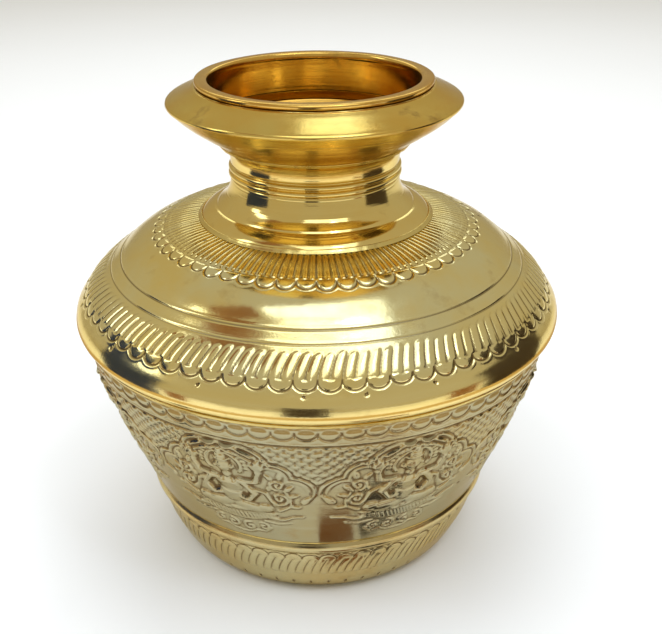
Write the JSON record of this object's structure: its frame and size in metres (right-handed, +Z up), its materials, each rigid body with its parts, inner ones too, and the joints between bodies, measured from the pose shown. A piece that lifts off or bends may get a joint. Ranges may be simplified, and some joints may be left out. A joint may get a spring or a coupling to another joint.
{
  "type": "brass water pot",
  "caption": "Rounded brass water pot with a tapering chased body, domed shoulder with petal rings, short turned neck and wide flanged mouth with a rolled lip.",
  "frame": {"origin": "centre of the flat base, on the surface the pot stands on", "axes": "+Z up along the pot's axis, out of the mouth; +X and +Y are horizontal, -Y is the front"},
  "size_m": [0.2286, 0.2286, 0.229],
  "materials": {
    "base_pan": "hammered and scoured dish, dull polish with turning rings",
    "lower_body": "polished sheet, chased with medallions and cross-hatching",
    "shoulder": "mirror-polished spun sheet with two punched petal rings",
    "neck_collar": "lathe-turned and mirror polished",
    "mouth_flange": "lathe-polished folded sheet",
    "mouth_liner": "drawn sleeve, darker orange inside, rolled polished lip",
    "braze": "filed filler, slightly darker than the sheet"
  },
  "bodies": {
    "root": {"base_pan": "base_pan", "lower_body": "lower_body", "shoulder": "shoulder", "neck_collar": "neck_collar", "mouth_flange": "mouth_flange", "mouth_liner": "mouth_liner", "base_seam_braze": "braze", "waist_seam_braze": "braze", "foot_seam_braze": "braze", "neck_seam_braze": "braze", "lip_seam_braze": "braze"}
  },
  "joints": []
}
